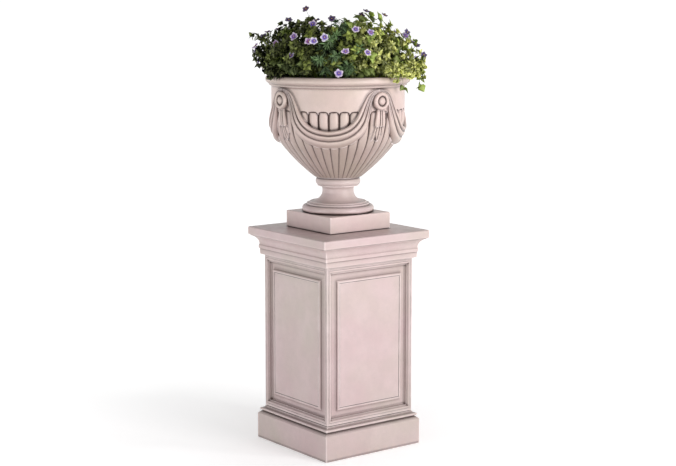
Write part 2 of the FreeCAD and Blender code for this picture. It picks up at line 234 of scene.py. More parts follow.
def gravel_material():
    material, tree, shader = new_material("gravel")
    place = add(tree, "TexCoord").outputs["Object"]
    cells = add(tree, "TexVoronoi", {"Vector": place, "Scale": 90.0})
    shade = add(tree, "SeparateColor", {0: cells.outputs["Color"]}).outputs[0]
    tone = mix(tree, shade, (0.20, 0.18, 0.16), (0.48, 0.45, 0.41))
    tree.links.new(tone, shader.inputs["Base Color"])
    tree.links.new(bump(tree, cells.outputs["Distance"], 0.9, 0.006), shader.inputs["Normal"])
    shader.inputs["Roughness"].default_value = 0.8
    return material


def fleece_material():
    material, tree, shader = new_material("fleece")
    place = add(tree, "TexCoord").outputs["Object"]
    fibre = noise(tree, place, 500.0, 6.0, 0.8)
    tone = mix(tree, ramp(tree, fibre, 0.3, 0.7), (0.55, 0.55, 0.51), (0.78, 0.78, 0.74))
    tree.links.new(tone, shader.inputs["Base Color"])
    tree.links.new(bump(tree, fibre, 0.4, 0.001), shader.inputs["Normal"])
    shader.inputs["Roughness"].default_value = 0.95
    return material


def compost_material():
    material, tree, shader = new_material("compost")
    place = add(tree, "TexCoord").outputs["Object"]
    crumb = noise(tree, place, 160.0, 6.0, 0.75)
    clump = noise(tree, place, 45.0, 3.0)
    tone = mix(tree, ramp(tree, crumb, 0.35, 0.65), (0.018, 0.011, 0.007), (0.085, 0.052, 0.032))
    tree.links.new(tone, shader.inputs["Base Color"])
    normal = bump(tree, crumb, 0.9, 0.004)
    normal = bump(tree, clump, 0.6, 0.010, normal)
    tree.links.new(normal, shader.inputs["Normal"])
    shader.inputs["Roughness"].default_value = 0.95
    return material


def plant_material(name, roughness, glow, grain_scale, dark):
    """Leaf, stem or petal: its colour comes from the mesh's tint, broken up by fine veins."""
    material, tree, shader = new_material(name)
    place = add(tree, "TexCoord").outputs["Object"]
    tint = add(tree, "Attribute", attribute_name="tint").outputs["Color"]
    cells = noise(tree, place, grain_scale, 4.0, 0.6)
    tone = mix(tree, ramp(tree, cells, 0.35, 0.75, 0.0, dark), tint, (0.02, 0.03, 0.01))
    tree.links.new(tone, shader.inputs["Base Color"])
    tree.links.new(ramp(tree, cells, 0.3, 0.7, roughness, roughness + 0.18),
                   shader.inputs["Roughness"])
    normal = bump(tree, cells, 0.25, 0.0008)
    tree.links.new(normal, shader.inputs["Normal"])
    shader.inputs["Specular IOR Level"].default_value = 0.22
    through = add(tree, "BsdfTranslucent", {"Color": tone, "Normal": normal})
    both = add(tree, "MixShader", {0: glow, 1: shader.outputs[0], 2: through.outputs[0]})
    output = next(node for node in tree.nodes if node.type == "OUTPUT_MATERIAL")
    tree.links.new(both.outputs[0], output.inputs[0])
    return material


# ========================================================================================
# mesh helpers
# ========================================================================================
def mesh_piece(name, verts, faces, material, tints=None):
    """A smooth piece that rides the urn, with a colour for each of its points if given."""
    mesh = bpy.data.meshes.new(name)
    mesh.from_pydata([tuple(v) for v in verts], [], faces)
    mesh.validate()
    mesh.polygons.foreach_set("use_smooth", [True] * len(mesh.polygons))
    if tints:
        layer = mesh.color_attributes.new("tint", "FLOAT_COLOR", "POINT")
        layer.data.foreach_set("color", [channel for tint in tints for channel in (*tint, 1.0)])
    mesh.materials.append(material)
    piece = bpy.data.objects.new(name, mesh)
    bpy.context.scene.collection.objects.link(piece)
    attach(piece, "urn")
    return piece


def ring_faces(rows, columns, closed_rows=False):
    """Quads of a grid that is closed round its columns, and round its rows too if asked."""
    faces = []
    for row in range(rows if closed_rows else rows - 1):
        above = (row + 1) % rows
        for column in range(columns):
            following = (column + 1) % columns
            faces.append((row * columns + column, row * columns + following,
                          above * columns + following, above * columns + column))
    return faces


def spline_point(points, share):
    """Point on a Catmull-Rom curve through the points, with share from 0 to 1."""
    place = share * (len(points) - 1)
    index = min(int(place), len(points) - 2)
    t = place - index
    before = points[max(index - 1, 0)]
    a, b = points[index], points[index + 1]
    after = points[min(index + 2, len(points) - 1)]
    if index == 0:
        before = tuple(2 * p - q for p, q in zip(a, b))
    if index == len(points) - 2:
        after = tuple(2 * p - q for p, q in zip(b, a))
    return tuple(0.5 * (2 * p1 + (p2 - p0) * t + (2 * p0 - 5 * p1 + 4 * p2 - p3) * t * t
                        + (3 * p1 - p0 - 3 * p2 + p3) * t ** 3)
                 for p0, p1, p2, p3 in zip(before, a, b, after))


def smooth_step(low, high, value):
    t = min(max((value - low) / (high - low), 0.0), 1.0)
    return t * t * (3 - 2 * t)


def at(radius, angle, height):
    """Urn place in metres, from a radius and height in millimetres and an angle in radians."""
    return Vector((radius * MM * math.cos(angle), radius * MM * math.sin(angle),
                   URN_BASE + height * MM))


def crest_radius(height):
    """Radius of the bowl over the gadroons' crests."""
    join_r = BAND_R - SHOULDER_ARC * (1 - math.cos(ARC_JOIN))
    join_z = SHOULDER_Z - SHOULDER_ARC * math.sin(ARC_JOIN)
    if height >= SHOULDER_Z:
        return BAND_R
    if height >= join_z:
        return BAND_R - SHOULDER_ARC + math.sqrt(SHOULDER_ARC ** 2 - (SHOULDER_Z - height) ** 2)
    centre_r = join_r - BELLY_ARC * math.cos(ARC_JOIN)
    centre_z = join_z + BELLY_ARC * math.sin(ARC_JOIN)
    return centre_r + math.sqrt(BELLY_ARC ** 2 - (centre_z - height) ** 2)


# ========================================================================================
# urn
# ========================================================================================
def arc_points(start, mid, end, count):
    """Points after the start on the circle through three points of a profile."""
    (ax, ay), (bx, by), (cx, cy) = start, mid, end
    d = 2 * (ax * (by - cy) + bx * (cy - ay) + cx * (ay - by))
    ux = ((ax ** 2 + ay ** 2) * (by - cy) + (bx ** 2 + by ** 2) * (cy - ay)
          + (cx ** 2 + cy ** 2) * (ay - by)) / d
    uy = ((ax ** 2 + ay ** 2) * (cx - bx) + (bx ** 2 + by ** 2) * (ax - cx)
          + (cx ** 2 + cy ** 2) * (bx - ax)) / d
    radius = math.hypot(ax - ux, ay - uy)
    first = math.atan2(ay - uy, ax - ux)
    turn = (math.atan2(cy - uy, cx - ux) - first) % (2 * math.pi)
    if (math.atan2(by - uy, bx - ux) - first) % (2 * math.pi) > turn:
        turn -= 2 * math.pi
    return [(ux + radius * math.cos(first + turn * i / count),
             uy + radius * math.sin(first + turn * i / count)) for i in range(1, count + 1)]


def bowl(stone):
    """Gadrooned bowl: each reed is a rounded finger sunk behind the plain band."""
    per_reed = 14
    columns = REEDS * per_reed
    arch = 10.0                # how far a reed's shoulder drops from its top to its groove
    rows_up = 84
    pillow = 9.0               # height over which a reed's end rounds down
    end_depth = 0.034          # how far it sinks there, as a share of the radius
    verts = []

    def across(column):
        """Place across a reed, from -1 to 1, closer spaced at the grooves."""
        return math.sin(math.pi / 2 * (2 * (column % per_reed) / per_reed - 1))

    angles = []
    for column in range(columns):
        reed = column // per_reed
        angles.append(math.pi / 4 + (reed + 0.5 + across(column) / 2) * 2 * math.pi / REEDS)
    shares = [across(column) for column in range(columns)]

    def reed_top(share):
        return REED_TOP - arch * (1 - math.sqrt(max(1 - abs(share) ** 2.6, 0.0)))

    for row in range(rows_up + 1):
        rise = row / rows_up
        rise = 1 - (1 - rise) ** 1.35      # rows lie closer near the rounded tops
        for column in range(columns):
            share = shares[column]
            height = BOWL_FOOT + (reed_top(share) - BOWL_FOOT) * rise
            crest = crest_radius(height)
            upper = smooth_step(340, 410, height)      # grooves deepen towards the tops
            depth = REED_DEPTH * (1 + 0.75 * upper)
            fullness = 2.5 - 0.5 * upper
            groove = depth * crest * (1 - math.sqrt(max(1 - abs(share) ** fullness, 0.0)))
            to_top = (reed_top(share) - height) / pillow
            end = 0.0
            if to_top < 1:
                end = end_depth * crest * (1 - math.sqrt(max(1 - (1 - to_top) ** 2, 0.0)))
            verts.append(at(crest - max(groove, end), angles[column], height))
    for lift in (0.5, 1.5, 4.0):
        for column in range(columns):
            height = reed_top(shares[column]) + lift
            verts.append(at(BAND_R - (0.8 if lift < 1 else 0.0), angles[column], height))

    profile = [(BAND_R, height) for height in (REED_TOP + 8, 462, 484, 506, BAND_TOP - 2)]
    profile += arc_points((BAND_R, BAND_TOP), (248.6, BAND_TOP + 6.3), (256, BAND_TOP + 9.5), 6)
    profile += [(256.3, BAND_TOP + 10), (256.3, BAND_TOP + 17), (256.6, BAND_TOP + 17.5),
                (260.5, BAND_TOP + 17.5)]
    profile += arc_points((261, BAND_TOP + 17.6), (RIM_R, BAND_TOP + 32), (262, RIM_TOP - 1), 14)
    profile += [(250, RIM_TOP), (238, RIM_TOP)]
    profile += arc_points((236, RIM_TOP), (232.3, RIM_TOP - 2.2), (MOUTH_R - 1, RIM_TOP - 7), 5)
    profile += [(MOUTH_R - 2, COMPOST_TOP + 4), (MOUTH_R - 5, COMPOST_TOP - 10), (222, 470),
                (215, 430), (196, 350), (160, 290), (118, 262), (90, 240), (70, 236),
                (DRAIN_R, 236), (DRAIN_R, BOWL_FOOT)]
    for radius, height in profile:
        verts += [at(radius, angle, height) for angle in angles]
    rows = len(verts) // columns
    piece = mesh_piece("bowl_gadrooned", verts, ring_faces(rows, columns, closed_rows=True), stone)
    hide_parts("urn_bowl")


# Upper and lower edges of half a swag, from its middle to the top of the rosette:
# degrees from the middle, and height in millimetres.
SWAG_UPPER = [(0, 379), (8, 384), (15.5, 396), (20.5, 414), (24.5, 440), (27.5, 465), (30.5, 489),
              (34, 511), (38.5, 522), (45, 526)]
SWAG_LOWER = [(0, 314), (10, 317), (19, 329), (26, 348), (31, 374), (33.8, 408), (35.2, 440),
              (36.3, 470), (38.8, 498), (45, 517.5)]
SWAG_FOLDS = (0.0, 0.25, 0.565, 1.0)


def swag_bulge(across, share):
    """How far the cloth stands off the bowl: three rolls that flatten towards the rosette."""
    thick = 15.0 - 6.5 * smooth_step(0.30, 0.75, share) - 3.0 * smooth_step(0.75, 0.95, share)
    for fold in range(3):
        low, high = SWAG_FOLDS[fold], SWAG_FOLDS[fold + 1]
        if across <= high:
            break
    local = (across - low) / (high - low)
    roll = math.sqrt(max(1 - abs(2 * local - 1) ** 2.1, 0.0))
    floor = 0.36
    if fold == 0 and local < 0.5:
        floor = 0.10
    if fold == 2 and local > 0.5:
        floor = 0.05
    pleat = math.exp(-((local - 0.50) / 0.09) ** 2) * smooth_step(0.30, 0.75, share)
    late = (0.5, 1.0, 1.0)[fold]
    return thick * (floor + (1 - floor) * roll) - 3.0 * pleat * late


def swag(name, node, turn, stone):
    """One cloth swag: a strip along the curves above, bulged outwards, with a closed back."""
    back = 4.0                 # how far the back lies inside the bowl's crests
    along = 72
    columns = 54
    verts = []
    for i in range(along + 1):
        signed = 2 * i / along - 1
        share = abs(signed)
        side = 1 if signed >= 0 else -1
        up_angle, up_z = spline_point(SWAG_UPPER, share)
        low_angle, low_z = spline_point(SWAG_LOWER, share)
        ring = []
        for j in range(columns + 1):
            across = j / columns
            angle = math.radians(side * (up_angle + (low_angle - up_angle) * across)) + turn
            height = up_z + (low_z - up_z) * across
            radius = crest_radius(height)
            ring.append((radius, angle, height, swag_bulge(across, share)))
        verts += [at(radius + out, angle, height) for radius, angle, height, out in ring]
        verts += [at(radius - back, angle, height) for radius, angle, height, _ in reversed(ring)]
    loop = 2 * (columns + 1)
    faces = ring_faces(along + 1, loop)
    faces.append(tuple(reversed(range(loop))))
    faces.append(tuple(along * loop + k for k in range(loop)))
    piece = mesh_piece(name, verts, faces, stone)
    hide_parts(node)


def cloth_strip(verts, faces, turn, sides, top, hem, stand, folds, depth):
    """Hanging cloth between two sides, pleated at shares of its width, with a closed back."""
    down = 26
    per_fold = 12
    back = 4.0
    columns = per_fold * (len(folds) - 1)
    first = len(verts)
    for i in range(down + 1):
        fall = i / down
        ring = []
        for j in range(columns + 1):
            pleat = min(j // per_fold, len(folds) - 2)
            local = (j - per_fold * pleat) / per_fold
            across = folds[pleat] + (folds[pleat + 1] - folds[pleat]) * local
            place = sides[0] + (sides[1] - sides[0]) * across
            height = top + (hem(across) - top) * fall
            spread = 0.72 + 0.28 * smooth_step(0.0, 0.8, fall)
            fold = math.sqrt(max(1 - abs(2 * local - 1) ** 2.4, 0.0))
            angle = turn + place * spread / BAND_R
            ring.append((crest_radius(height), angle, height, stand + depth * fold))
        verts += [at(radius + out, angle, height) for radius, angle, height, out in ring]
        verts += [at(radius - back, angle, height) for radius, angle, height, _ in reversed(ring)]
    loop = 2 * (columns + 1)
    faces += [tuple(first + v for v in face) for face in ring_faces(down + 1, loop)]
    faces.append(tuple(first + k for k in reversed(range(loop))))
    faces.append(tuple(first + down * loop + k for k in range(loop)))


def tail(name, node, turn, stone):
    """Cloth end below a rosette: a pleated drop over a lower tier that rises in zigzags."""
    verts, faces = [], []

    def stepped(across):
        """Two hanging points on the viewer's left with an arch between, then a rising hem."""
        if across < 0.5:
            return 338 + 22 * math.sin(math.pi * across / 0.5) ** 2
        return 338 + 32 * smooth_step(0.5, 0.9, across) - 5 * math.sin(across * 8 * math.pi) ** 2

    def level(across):
        return 393 + 1.5 * math.cos(6 * math.pi * across)

    lower_folds = (0.0, 0.22, 0.50, 0.72, 1.0)
    upper_folds = (0.0, 0.45, 0.65, 1.0)
    cloth_strip(verts, faces, turn, (-25, 26), 400, stepped, 0.5, lower_folds, 5.0)
    cloth_strip(verts, faces, turn, (-22, 22), 456, level, 6.0, upper_folds, 5.0)
    piece = mesh_piece(name, verts, faces, stone)
    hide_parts(node)


# ========================================================================================
# planting
# ========================================================================================
def leaf_mesh(batch, root, direction, normal, length, width, bend, tint, rib, point=0.8):
    """A thin closed leaf with a toothed edge, a raised midrib and an underside, added to a batch."""
    verts, faces, tints = batch
    first = len(verts)
    stations = 6
    forward = direction.normalized()
    across = forward.cross(normal)
    across.normalize()
    up = across.cross(forward)
    shade = tuple(a + (b - a) * 0.30 for a, b in zip(tint, rib))
    # The underside is painted at 0.6 of the leaf's colour: painted shade.
    under = tuple(0.6 * channel for channel in tint)
    for i in range(stations + 1):
        t = i / stations
        tooth = 1.10 if i % 2 else 0.94
        half = width / 2 * max(math.sin(math.pi * t ** point) * tooth, 0.06)
        drop = bend * length * t * t
        middle = root + forward * (length * t) - up * drop
        fold = half * 0.34
        verts += [middle - across * half + up * fold, middle + up * 0.0003,
                  middle + across * half + up * fold, middle - up * 0.0004]
        tints += [tint, shade, tint, under]
        if i:
            a = first + 4 * (i - 1)
            b = a + 4
            for k in range(4):
                n = (k + 1) % 4
                faces.append((a + k, a + n, b + n, b + k))
    faces.append((first + 3, first + 2, first + 1, first))
    last = first + 4 * stations
    faces.append((last, last + 1, last + 2, last + 3))


def stem_mesh(batch, points, radius, tint):
    """A thin four-sided tube through the points, tapering to its end."""
    verts, faces, tints = batch
    first = len(verts)
    count = len(points)
    for i, point in enumerate(points):
        ahead = (points[min(i + 1, count - 1)] - points[max(i - 1, 0)]).normalized()
        side = ahead.cross(Vector((0.31, 0.22, 0.92)))
        side.normalize()
        other = ahead.cross(side)
        r = radius * (1 - 0.5 * i / (count - 1))
        verts += [point + side * r, point + other * r, point - side * r, point - other * r]
        tints += [tint] * 4
    for i in range(count - 1):
        for k in range(4):
            n = (k + 1) % 4
            a = first + 4 * i
            faces.append((a + k, a + n, a + 4 + n, a + 4 + k))
    faces.append((first + 3, first + 2, first + 1, first))
    last = first + 4 * (count - 1)
    faces.append((last, last + 1, last + 2, last + 3))


def bezier(a, b, c, count):
    """Points on the curve from a to c that leans towards b."""
    points = []
    for i in range(count + 1):
        t = i / count
        points.append(a * (1 - t) ** 2 + b * 2 * t * (1 - t) + c * t * t)
    return points


def side_of(angle):
    """1 on the viewer's right, -1 on the left."""
    return math.cos(angle - VIEW_AZIMUTH)


def front_of(angle):
    """1 straight towards the viewer, -1 straight away."""
    return math.sin(VIEW_AZIMUTH - angle)


def way(angle, polar):
    """Unit vector at an angle round the axis and an angle down from it."""
    return Vector((math.sin(polar) * math.cos(angle), math.sin(polar) * math.sin(angle),
                   math.cos(polar)))


def make_lobes(rng):
    """Uneven clumps, as a place, an amount and a width: where the leafy mass swells or sinks."""
    lobes = []
    for _ in range(34):
        angle = rng.uniform(0, 2 * math.pi)
        polar = math.acos(rng.uniform(0.0, 1.0))
        lobes.append((way(angle, polar), rng.uniform(-0.15, 0.07), rng.uniform(0.12, 0.26)))
    return lobes


LOBES = make_lobes(random.Random(LEAF_SEED + 1))


def envelope(angle, polar):
    """Point on the outline of the leafy mass; polar is 0 at the top and 90 degrees at the rim."""
    side = side_of(angle)
    reach = 266 + 54 * abs(side) ** 1.5
    if front_of(angle) < 0:
        reach = max(reach, 292)
    reach *= 1 - 0.13 * max(-side, 0.0) * smooth_step(0.95, 1.5, polar)
    radius = reach * MM * max(math.sin(polar), 0.0) ** (0.70 + 0.25 * side)
    height = FOLIAGE_H * MM * (1 + 0.065 * side) * math.cos(polar)
    if polar > math.pi / 2:
        height *= 1.7
        radius *= 1 - 0.45 * (polar - math.pi / 2)
    swell = 1.0
    for centre, amount, width in LOBES:
        apart = (way(angle, polar) - centre).length_squared
        swell += amount * math.exp(-apart / (2 * width * width))
    swell = min(swell, 1.06)
    return Vector((radius * swell * math.cos(angle), radius * swell * math.sin(angle),
                   RIM + height * swell))


def outward(angle, polar):
    """Rough outward direction of the leafy mass at a place on its outline."""
    flat = math.sin(polar) ** 2
    return Vector((flat * math.cos(angle), flat * math.sin(angle), math.cos(polar) + 0.25)).normalized()


def jitter(rng, amount):
    return Vector((rng.uniform(-1, 1), rng.uniform(-1, 1), rng.uniform(-1, 1))) * amount


def clear_of_rim(point, margin=0.005):
    """False where a leaf would run into the rim or the band below it."""
    radius = math.hypot(point.x, point.y)
    if point.z > RIM + margin:
        return True
    if radius > RIM_R * MM + 2 * margin:
        return True
    return radius < (MOUTH_R * MM - 2 * margin) and point.z > RIM - 0.02


def exposure(point):
    """How near a place is to the outside of the leafy mass, from 0 in its dark inside to 1."""
    offset = point - Vector((0, 0, RIM))
    flat = math.hypot(offset.x, offset.y)
    angle = math.atan2(offset.y, offset.x)
    polar = math.atan2(flat, max(offset.z, 0.001) * 1.5)
    edge = (envelope(angle, polar) - Vector((0, 0, RIM))).length
    return smooth_step(0.62, 1.02, offset.length / max(edge, 0.05))


# Leaf habits: length and width of a leaf, bend, shape, leaves on a stem and at its end, and
# the colours of a shaded and a sunlit leaf and of its rib.
HABITS = {
    "olive": dict(length=0.020, width=0.016, bend=0.30, point=0.70, leaves=22, whorl=5,
                  dark=(0.010, 0.015, 0.004), light=(0.460, 0.560, 0.105), rib=(0.55, 0.62, 0.22)),
    "feather": dict(length=0.026, width=0.007, bend=0.20, point=0.9, leaves=28, whorl=9,
                    dark=(0.006, 0.020, 0.006), light=(0.280, 0.500, 0.170), rib=(0.50, 0.66, 0.38)),
    "lime": dict(length=0.016, width=0.014, bend=0.25, point=0.70, leaves=26, whorl=6,
                 dark=(0.120, 0.160, 0.012), light=(0.940, 0.980, 0.260), rib=(0.98, 0.98, 0.72)),
    "round": dict(length=0.027, width=0.028, bend=0.20, point=0.7, leaves=9, whorl=3,
                  dark=(0.030, 0.050, 0.008), light=(0.460, 0.600, 0.120), rib=(0.60, 0.70, 0.32)),
}


def leaf_tint(kind, root, young, rng):
    """Colour of one leaf, with painted light: painted shade inside the mass and low down, painted sunlight
    on the outside and on the viewer's right, and brighter at young tips.
    """
    open_air = exposure(root)
    side = side_of(math.atan2(root.y, root.x)) * min(math.hypot(root.x, root.y) / 0.2, 1.0)
    low = smooth_step(-0.04, 0.07, root.z - RIM) + max(side, 0.0) * 0.7
    # light is how sunlit the leaf is painted: painted light, higher on the viewer's right.
    light = open_air * (0.20 + 0.55 * young) * (0.12 + 0.88 * min(low, 1.0)) + 0.50 * side * open_air
    light = min(max(light * rng.choice((0.35, 0.7, 1.1, 1.7)) + rng.uniform(-0.10, 0.10), 0.0), 1.0)
    return tuple(a + (b - a) * light for a, b in zip(kind["dark"], kind["light"]))


def place_leaf(batch, kind, root, direction, normal, size, young, rng):
    """Adds a leaf unless it would run into the rim or stand out beyond the planting."""
    tip = root + direction.normalized() * kind["length"] * size
    if not (clear_of_rim(root) and clear_of_rim(tip)):
        return
    if math.hypot(tip.x, tip.y) > LEAF_REACH:
        return
    tint = leaf_tint(kind, root, young, rng)
    leaf_mesh(batch, root, direction, normal, kind["length"] * size, kind["width"] * size,
              kind["bend"] * rng.uniform(0.3, 1.8), tint, kind["rib"], kind["point"])


def leafy_stem(batch, rng, habit, end, out, angle, low_radius):
    """One stem from the compost to its end, with leaves on its outer part and a whorl on top."""
    kind = HABITS[habit]
    if not clear_of_rim(end):
        end.z = RIM + 0.008
    base_angle = angle + rng.uniform(-0.25, 0.25)
    base = Vector((low_radius * math.cos(base_angle), low_radius * math.sin(base_angle),
                   URN_BASE + (COMPOST_TOP - 4) * MM))
    middle = base.lerp(end, 0.45)
    middle.z = base.z + 0.80 * (end.z - base.z) + 0.035
    if end.z < RIM + 0.05:
        reach = max(0.250, 0.98 * math.hypot(end.x, end.y))
        middle = Vector((reach * math.cos(angle), reach * math.sin(angle), RIM + 0.075))
    segments = 7
    points = bezier(base, middle, end, segments)
    young = rng.uniform(0.0, 1.0)
    stem_tint = tuple(0.6 * a + 0.4 * b for a, b in zip(kind["dark"], kind["light"]))
    stem_mesh(batch, points, 0.0011, stem_tint)
    for i in range(kind["leaves"]):
        share = 0.30 + 0.70 * (i + rng.random()) / kind["leaves"]
        place = share * segments
        index = min(int(place), segments - 1)
        root = points[index].lerp(points[index + 1], place - index)
        along = (points[index + 1] - points[index]).normalized()
        side = along.cross(out)
        if side.length < 0.05:
            side = Vector((-math.sin(angle), math.cos(angle), 0))
        side.normalize()
        around = Matrix.Rotation(i * 2.4 + rng.uniform(-0.5, 0.5), 3, along) @ side
        direction = around + along * rng.uniform(0.1, 0.8) + Vector((0, 0, -0.15)) + jitter(rng, 0.25)
        normal = out * 1.2 + Vector((0, 0, 0.6)) + jitter(rng, 0.45)
        place_leaf(batch, kind, root, direction, normal, rng.uniform(0.7, 1.25), young * share, rng)
    tip_way = (points[-1] - points[-2]).normalized()
    for i in range(kind["whorl"]):
        turn = i * 2 * math.pi / kind["whorl"] + rng.uniform(-0.3, 0.3)
        side = tip_way.cross(Vector((0.3, 0.2, 0.9)))
        side.normalize()
        around = Matrix.Rotation(turn, 3, tip_way) @ side
        direction = around + tip_way * rng.uniform(0.0, 1.4) + jitter(rng, 0.35)
        normal = tip_way * 1.0 + out * 0.6 + jitter(rng, 0.6)
        place_leaf(batch, kind, points[-1], direction, normal, rng.uniform(0.75, 1.15),
                   0.4 + 0.6 * young, rng)


def flower_mesh(batch, centre, facing, rng, size, silhouette_shade=1.0):
    """Five petals round a small eye: white to lilac, violet inside, and all painted darker by the given
    factor as painted shade.
    """
    verts, faces, tints = batch
    facing = facing.normalized()
    side = facing.cross(Vector((0.13, 0.21, 0.96)))
    side.normalize()
    other = facing.cross(side)
    outer = rng.choice([(0.93, 0.89, 0.95), (0.90, 0.80, 0.93), (0.95, 0.84, 0.92),
                        (0.80, 0.74, 0.92)])
    inner = rng.choice([(0.17, 0.09, 0.50), (0.24, 0.10, 0.52), (0.36, 0.10, 0.44)])
    start = rng.uniform(0, 1.25)
    rows, half_columns = 5, 3
    for petal in range(5):
        angle = start + petal * 2 * math.pi / 5
        out = side * math.cos(angle) + other * math.sin(angle)
        across = facing.cross(out)
        big = size * rng.uniform(0.9, 1.08) * (1.12 if petal == 0 else 1.0)
        for skin in (1, -1):
            first = len(verts)
            for i in range(rows + 1):
                t = i / rows
                reach = big * 0.5 * t
                half = big * 0.5 * (0.08, 0.15, 0.26, 0.37, 0.38, 0.22)[i]
                for j in range(-half_columns, half_columns + 1):
                    s = j / half_columns
                    notch = 0.06 * big * (1 - abs(s)) if i == rows else 0.0
                    shrink = 0.10 * big * s * s * t
                    cup = big * (0.10 * t * t - 0.05 * t + 0.03 * math.cos(3 * s) * t)
                    thin = 0.00025 * skin if 0 < i < rows and abs(j) < half_columns else 0.0
                    verts.append(centre + out * (reach - notch - shrink) + across * (half * s)
                                 + facing * (cup + thin))
                    blend = smooth_step(0.30, 0.80, t)
                    tints.append(tuple(silhouette_shade * (a + (b - a) * blend) for a, b in zip(inner, outer)))
            width = 2 * half_columns + 1
            for i in range(rows):
                for j in range(width - 1):
                    a = first + i * width + j
                    quad = (a, a + 1, a + 1 + width, a + width)
                    faces.append(quad if skin < 0 else tuple(reversed(quad)))
    first = len(verts)
    sides = 8
    eye = (0.80, 0.62, 0.10)
    for ring_radius, rise in ((0.0016, 0.0), (0.0022, 0.0012), (0.0012, 0.0024)):
        for k in range(sides):
            a = 2 * math.pi * k / sides
            spoke = side * math.cos(a) + other * math.sin(a)
            verts.append(centre + spoke * ring_radius + facing * rise)
            tints.append(eye)
    faces += [tuple(first + v for v in face) for face in ring_faces(3, sides)]
    faces.append(tuple(first + k for k in reversed(range(sides))))
    faces.append(tuple(first + 2 * sides + k for k in range(sides)))


# Flowers seen from the front: millimetres to the viewer's right of the axis, and above the rim.
FRONT_FLOWERS = [(-93, 185), (-163, 140), (-108, 122), (-88, 123), (-230, 115), (-175, 70),
                 (65, 166), (121, 155), (28, 85), (3, 4), (-49, 137), (110, 81)]
# Flowers on long thin stalks that stand clear of the leaves, the same way.
STALK_FLOWERS = [(-119, 240), (-182, 200), (-79, 200), (-23, 204), (87, 216), (106, 232),
                 (172, 218), (254, 156), (290, 108), (318, 71), (-306, 71), (-260, 30)]
# Ends of the leafy sprigs that break the outline or hang over the rim: the same two distances,
# the distance towards the viewer, and the leaf habit.
SPRIGS = [(-312, 142, 20, "olive"), (-284, 136, 60, "olive"), (-250, 146, 90, "olive"),
          (-204, 184, 20, "olive"), (-108, 204, 10, "olive"), (-140, 188, 60, "olive"),
          (-64, 186, 40, "olive"), (32, 196, 30, "olive"), (80, 204, 40, "round"),
          (118, 212, 0, "round"), (146, 208, 60, "round"), (188, 182, 20, "olive"),
          (216, 158, 40, "lime"), (256, 122, 20, "lime"), (296, 84, 30, "lime"),
          (316, 54, 20, "lime"), (320, 34, 60, "lime"), (302, 16, 84, "lime"),
          (284, 6, 120, "lime"), (268, 2, 152, "lime"), (246, 14, 180, "lime"),
          (222, 22, 206, "lime"), (256, 4, 168, "lime"), (236, 30, 190, "lime"),
          (-300, 60, 20, "olive"), (-292, 92, 40, "olive"), (-262, 22, 40, "olive"),
          (-286, 38, 20, "olive"), (-240, 4, 90, "olive"), (-208, 0, 182, "olive"),
          (-222, 4, 165, "olive")]


def plant_of(point):
    """Index of the plant that a place belongs to: 0 for the heart, 1 to 6 round the ring."""
    if math.hypot(point.x, point.y) < 0.105:
        return 0
    return int(math.degrees(math.atan2(point.y, point.x)) % 360 // 60) + 1


def front_place(side, height, proud):
    """Place on the viewer's half of the leafy mass that is seen at a sideways and an upward distance."""
    side *= MM
    level = RIM + height * MM
    depth = 0.0
    for _ in range(4):
        z = level + (EYE_HEIGHT - level) * depth / VIEW_DISTANCE
        across = side * (1 - depth / VIEW_DISTANCE)
        share = min(max((z - RIM) / (FOLIAGE_H * MM), 0.0), 1.0)
        radius = 0.270 * (1 - share ** 2) ** 0.25
        depth = math.sqrt(max(radius ** 2 - across ** 2, 0.0)) + proud
    point = RIGHT_OF_VIEWER * across + TOWARDS_VIEWER * depth
    point.z = z
    return point


def flowers(blooms, stalks, rng):
    """The flowers seen from the front, and more at random on the far side."""
    for side, height in FRONT_FLOWERS:
        point = front_place(side, height, 0.010)
        facing = TOWARDS_VIEWER * 0.9 + RIGHT_OF_VIEWER * (side * 0.0020) + Vector((0, 0, 0.65))
        mass_flower(blooms, stalks, rng, point, facing + jitter(rng, 0.35))
    for side, height in STALK_FLOWERS:
        point = RIGHT_OF_VIEWER * (side * MM) + TOWARDS_VIEWER * rng.uniform(-0.05, 0.05)
        point.z = RIM + height * MM
        stalk_flower(blooms, stalks, rng, point)
    for _ in range(44):
        angle = VIEW_AZIMUTH + math.pi / 2 + rng.uniform(-1.8, 1.8)
        polar = math.radians(rng.uniform(30, 88))
        point = envelope(angle, polar) + outward(angle, polar) * 0.010
        mass_flower(blooms, stalks, rng, point, outward(angle, polar) + jitter(rng, 0.45))
    for _ in range(9):
        angle = VIEW_AZIMUTH + math.pi / 2 + rng.uniform(-1.3, 1.3)
        polar = math.radians(rng.uniform(50, 85))
        point = envelope(angle, polar)
        point += outward(angle, polar) * 0.03
        if math.hypot(point.x, point.y) < FLOWER_REACH:
            stalk_flower(blooms, stalks, rng, point)


def mass_flower(blooms, stalks, rng, point, facing):
    """A flower among the leaves, on a stem from inside the mass."""
    plant = plant_of(point)
    flower_mesh(blooms[plant], point, facing, rng, FLOWER_ACROSS * rng.uniform(0.85, 1.1))
    inside = Vector((point.x * 0.7, point.y * 0.7, point.z - 0.05))
    inside.z = max(inside.z, RIM + 0.005)
    curve = bezier(inside, inside.lerp(point, 0.6), point, 4)
    stem_mesh(stalks[plant], curve, 0.0007, (0.14, 0.20, 0.06))


